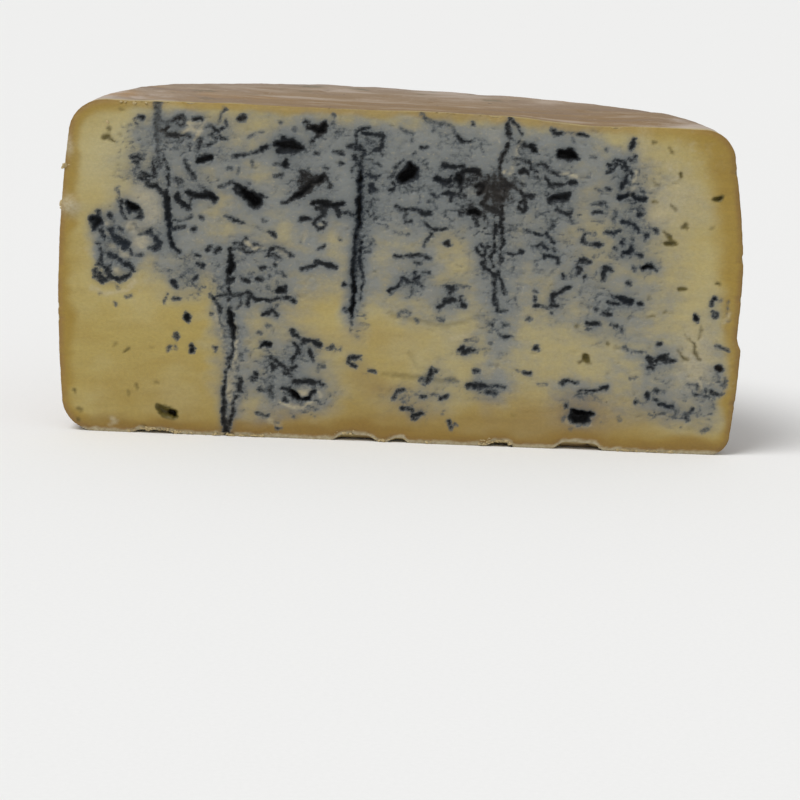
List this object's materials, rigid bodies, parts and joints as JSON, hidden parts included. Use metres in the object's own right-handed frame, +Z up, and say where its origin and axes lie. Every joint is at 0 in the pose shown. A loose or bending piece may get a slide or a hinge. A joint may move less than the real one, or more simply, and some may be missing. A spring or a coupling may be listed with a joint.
{
  "type": "half wheel of blue cheese",
  "caption": "Half of a round blue-veined cheese on its base, with natural rind and a flat cut showing mould, open eyes and needle channels.",
  "frame": {"origin": "under the middle of the bounding box, on the plane of the base", "axes": "+X along the cut, to the right as seen facing the cut; -Y out of the cut; +Z up, from base to top"},
  "size_m": [0.2, 0.1012, 0.0991],
  "materials": {
    "veined_paste": "moist yellow-ivory paste with grey-blue mould on the cut, dry pinkish-grey rind elsewhere"
  },
  "bodies": {
    "root": {"cheese": "veined_paste"}
  },
  "joints": []
}
